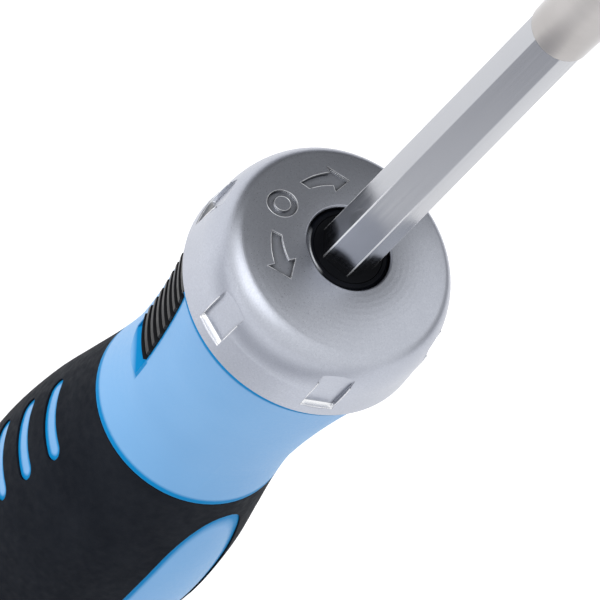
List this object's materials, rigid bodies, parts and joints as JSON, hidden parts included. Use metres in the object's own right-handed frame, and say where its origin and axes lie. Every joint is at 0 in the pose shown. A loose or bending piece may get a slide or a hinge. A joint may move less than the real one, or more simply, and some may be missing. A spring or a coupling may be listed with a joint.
{
  "type": "ratcheting screwdriver",
  "caption": "Ratcheting screwdriver with a three-position selector ring, quick-release hex shaft, magnetic bit holder, soft grip and a bit cartridge in the handle.",
  "frame": {"origin": "centre of the end cap's flat, on the tool's axis", "axes": "+Z along the tool's axis towards the bit's tip, -Y towards the thumb slide"},
  "size_m": [0.0318, 0.0316, 0.2324],
  "materials": {
    "core": "satin",
    "sleeve": "matte",
    "black_plastic": "satin",
    "cast_ring": "satin",
    "housing": "satin",
    "bright_steel": "satin",
    "chrome": "polished",
    "dark_steel": "black oxide",
    "bronze": "satin",
    "o_ring": "matte"
  },
  "bodies": {
    "handle": {"handle_core": "core", "grip_sleeve": "sleeve", "ratchet_housing": "housing", "housing_cover": "housing", "cover_screws": "dark_steel", "pawl_pins": "bright_steel", "nose_bushing": "black_plastic", "rear_bushing": "bronze", "thrust_washer": "bronze", "retaining_wire": "bright_steel", "detent_ball": "chrome", "detent_spring": "bright_steel", "release_spring": "bright_steel"},
    "selector": {"selector_ring": "cast_ring", "pawl_plunger_1": "bright_steel", "pawl_plunger_2": "bright_steel", "plunger_spring_1": "bright_steel", "plunger_spring_2": "bright_steel"},
    "pawl_a": {"pawl_1": "dark_steel"},
    "pawl_b": {"pawl_2": "dark_steel"},
    "spindle": {"drive_spindle": "dark_steel", "ratchet_gear": "dark_steel", "spindle_clip": "bright_steel", "hex_shaft": "chrome", "bit_holder": "bright_steel", "holder_magnet": "bright_steel", "holder_clip": "bright_steel"},
    "ball_a": {"lock_ball_1": "chrome"},
    "ball_b": {"lock_ball_2": "chrome"},
    "bit": {"screwdriver_bit": "bright_steel"},
    "slide": {"thumb_slide": "black_plastic", "release_collar": "bright_steel"},
    "cartridge": {"bit_cartridge": "black_plastic", "cartridge_o_ring": "o_ring", "stored_bit_1": "bright_steel", "stored_bit_2": "bright_steel", "stored_bit_3": "bright_steel", "stored_bit_4": "bright_steel", "stored_bit_5": "bright_steel", "cap_screw": "bright_steel"},
    "cap": {"end_cap": "black_plastic", "cap_plug": "black_plastic"}
  },
  "joints": [
    {"name": "selector_turn", "type": "hinge", "parent": "handle", "child": "selector", "pos_m": [0, 0, 0.118], "axis": [0, 0, 1], "range_deg": [-24, 24]},
    {"name": "pawl_a_rock", "type": "hinge", "parent": "handle", "child": "pawl_a", "pos_m": [0, 0.0091, 0.118], "axis": [0, 0, 1], "range_deg": [-6.5, 6.5]},
    {"name": "pawl_b_rock", "type": "hinge", "parent": "handle", "child": "pawl_b", "pos_m": [0, -0.0091, 0.118], "axis": [0, 0, 1], "range_deg": [-6.5, 6.5]},
    {"name": "spindle_spin", "type": "hinge", "parent": "handle", "child": "spindle", "pos_m": [0, 0, 0.118], "axis": [0, 0, 1], "continuous": true},
    {"name": "slide_draw", "type": "slide", "parent": "handle", "child": "slide", "axis": [0, 0, -1], "range_m": [0, 0.003], "stiffness_N_per_m": 400, "springref_m": -0.002, "deforming": ["release_spring"]},
    {"name": "ball_a_release", "type": "slide", "parent": "spindle", "child": "ball_a", "axis": [1, 0, 0], "range_m": [0, 0.0007]},
    {"name": "ball_b_release", "type": "slide", "parent": "spindle", "child": "ball_b", "axis": [-1, 0, 0], "range_m": [0, 0.0007]},
    {"name": "bit_pull", "type": "slide", "parent": "spindle", "child": "bit", "axis": [0, 0, 1], "range_m": [0, 0.0126]},
    {"name": "cartridge_pull", "type": "slide", "parent": "handle", "child": "cartridge", "axis": [0, 0, -1], "range_m": [0, 0.036]},
    {"name": "cap_spin", "type": "hinge", "parent": "cartridge", "child": "cap", "pos_m": [0, 0, 0], "axis": [0, 0, 1], "continuous": true}
  ],
  "couplings": [
    {"joint": "pawl_a_rock", "follows": "selector_turn", "ratio": 0.27},
    {"joint": "pawl_b_rock", "follows": "selector_turn", "ratio": 0.27},
    {"joint": "ball_a_release", "follows": "slide_draw", "ratio": 0.2333},
    {"joint": "ball_b_release", "follows": "slide_draw", "ratio": 0.2333}
  ]
}
